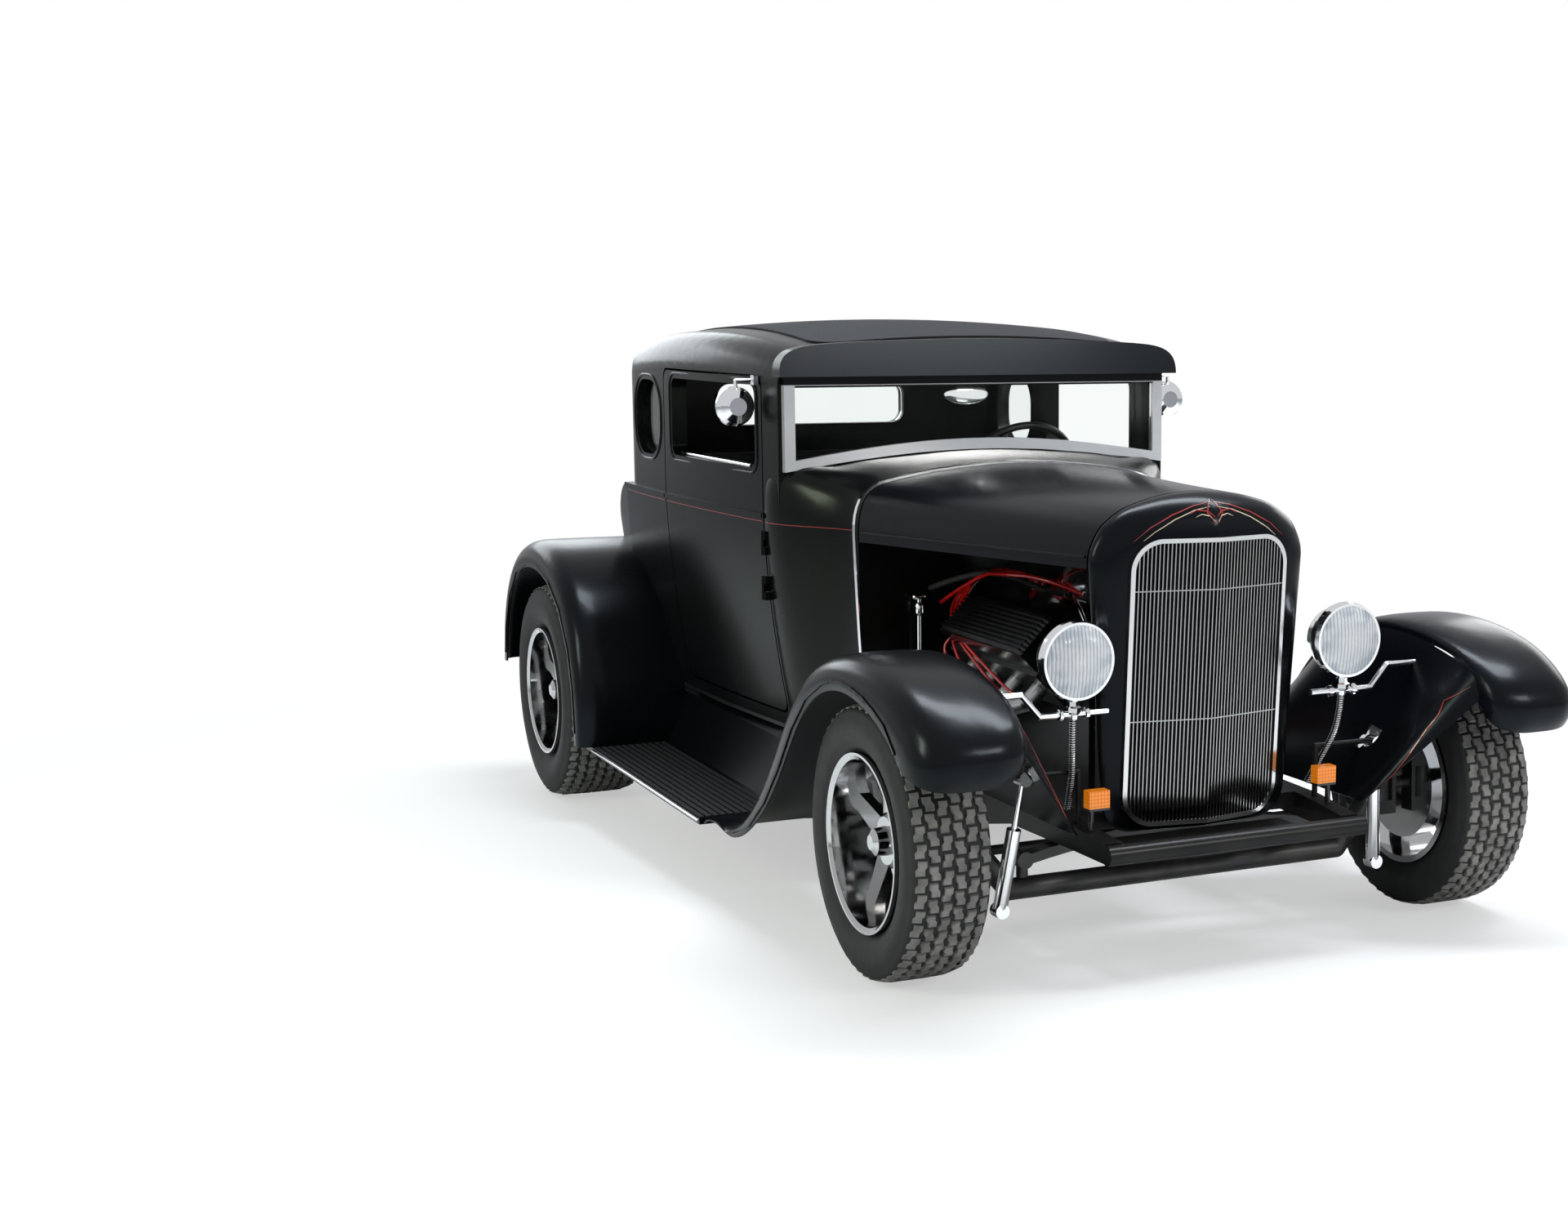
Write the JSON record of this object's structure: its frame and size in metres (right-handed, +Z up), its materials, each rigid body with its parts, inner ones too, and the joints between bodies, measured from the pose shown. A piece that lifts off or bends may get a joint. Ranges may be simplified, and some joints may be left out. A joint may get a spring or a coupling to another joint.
{
  "type": "hot rod coupe",
  "caption": "Chopped hot rod coupe with full fenders, an open engine, a pointed grille and a dropped front axle.",
  "frame": {"origin": "middle of the car's length and width, on the road", "axes": "+X to the car's left, +Y to its tail, +Z up"},
  "size_m": [1.8162, 3.5505, 1.5277],
  "materials": {
    "body_paint": "satin black",
    "frame_paint": "satin black",
    "axle_paint": "dark grey",
    "chrome": "bright plated",
    "brushed_trim": "satin polished",
    "tyre": "worn rubber",
    "exhaust_steel": "plain",
    "engine_paint": "black enamel",
    "engine_trim": "black with bright fins",
    "roof_vinyl": "grained vinyl",
    "glass": "clear",
    "lamp_glass": "fluted",
    "amber_lens": "clear amber",
    "red_lens": "clear red",
    "seat_leather": "stitched",
    "dash_paint": "satin",
    "wheel_grip": "smooth"
  },
  "bodies": {
    "root": {"frame": "frame_paint", "front_axle": "axle_paint", "front_suspension": "axle_paint", "shock_absorbers": "chrome", "rear_axle": "axle_paint", "exhaust": "exhaust_steel", "engine_block": "engine_paint", "valve_covers": "engine_trim", "induction": "chrome", "front_drive": "engine_trim", "grille_shell": "body_paint", "grille_bars": "chrome", "cowl": "body_paint", "cab_shell": "body_paint", "roof_insert": "roof_vinyl", "visor": "body_paint", "windshield_frame": "brushed_trim", "window_glass": "glass", "floor_pan": "frame_paint", "front_fenders": "body_paint", "rear_fenders": "body_paint", "running_boards": "body_paint", "headlamps": "chrome", "headlamp_lenses": "lamp_glass", "turn_signals": "amber_lens", "tail_lamps": "red_lens", "seat": "seat_leather", "dashboard": "dash_paint"},
    "knuckle_left": {"knuckle_left": "axle_paint"},
    "knuckle_right": {"knuckle_right": "axle_paint"},
    "wheel_front_left": {"wheel_front_left": "chrome", "tyre_front_left": "tyre"},
    "wheel_front_right": {"wheel_front_right": "chrome", "tyre_front_right": "tyre"},
    "wheel_rear_left": {"wheel_rear_left": "chrome", "tyre_rear_left": "tyre"},
    "wheel_rear_right": {"wheel_rear_right": "chrome", "tyre_rear_right": "tyre"},
    "tie_rod": {"tie_rod": "axle_paint"},
    "steering_wheel": {"steering_wheel": "wheel_grip"},
    "door_left": {"door_left": "body_paint", "mirror_left": "chrome"},
    "door_right": {"door_right": "body_paint", "mirror_right": "chrome"},
    "deck_lid": {"deck_lid": "body_paint"},
    "hood": {"hood": "body_paint"}
  },
  "joints": [
    {"name": "steer_left", "type": "hinge", "parent": "root", "child": "knuckle_left", "pos_m": [0.588, -1.309, 0.316], "axis": [0, 0, 1], "range_deg": [-25, 25]},
    {"name": "steer_right", "type": "hinge", "parent": "root", "child": "knuckle_right", "pos_m": [-0.588, -1.309, 0.316], "axis": [0, 0, 1], "range_deg": [-25, 25]},
    {"name": "tie_rod_swing", "type": "hinge", "parent": "knuckle_left", "child": "tie_rod", "pos_m": [0.588, -1.159, 0.256], "axis": [0, 0, 1], "range_deg": [-25, 25]},
    {"name": "steering_wheel_turn", "type": "hinge", "parent": "root", "child": "steering_wheel", "pos_m": [0.29, 0.16608, 1.05593], "axis": [0, 0.829, 0.5592], "range_deg": [-300, 300]},
    {"name": "roll_front_left", "type": "hinge", "parent": "knuckle_left", "child": "wheel_front_left", "pos_m": [0.729, -1.309, 0.316], "axis": [1, 0, 0], "continuous": true},
    {"name": "roll_front_right", "type": "hinge", "parent": "knuckle_right", "child": "wheel_front_right", "pos_m": [-0.729, -1.309, 0.316], "axis": [1, 0, 0], "continuous": true},
    {"name": "roll_rear_left", "type": "hinge", "parent": "root", "child": "wheel_rear_left", "pos_m": [0.75, 1.32, 0.347], "axis": [1, 0, 0], "continuous": true},
    {"name": "roll_rear_right", "type": "hinge", "parent": "root", "child": "wheel_rear_right", "pos_m": [-0.75, 1.32, 0.347], "axis": [1, 0, 0], "continuous": true},
    {"name": "door_left_swing", "type": "hinge", "parent": "root", "child": "door_left", "pos_m": [0.606, -0.09656, 0.98372], "axis": [0, 0.0349, -0.9994], "range_deg": [0, 60]},
    {"name": "door_right_swing", "type": "hinge", "parent": "root", "child": "door_right", "pos_m": [-0.606, -0.09656, 0.98372], "axis": [0, -0.0349, 0.9994], "range_deg": [0, 60]},
    {"name": "deck_lid_lift", "type": "hinge", "parent": "root", "child": "deck_lid", "pos_m": [0, 1.23098, 1.02007], "axis": [1, 0, 0], "range_deg": [0, 55]},
    {"name": "hood_lift_off", "type": "slide", "parent": "root", "child": "hood", "axis": [0, -0.0349, 0.9994], "range_m": [0, 0.4]}
  ],
  "couplings": [
    {"joint": "steer_right", "follows": "steer_left", "ratio": 1},
    {"joint": "tie_rod_swing", "follows": "steer_left", "ratio": -1},
    {"joint": "steering_wheel_turn", "follows": "steer_left", "ratio": 12}
  ]
}
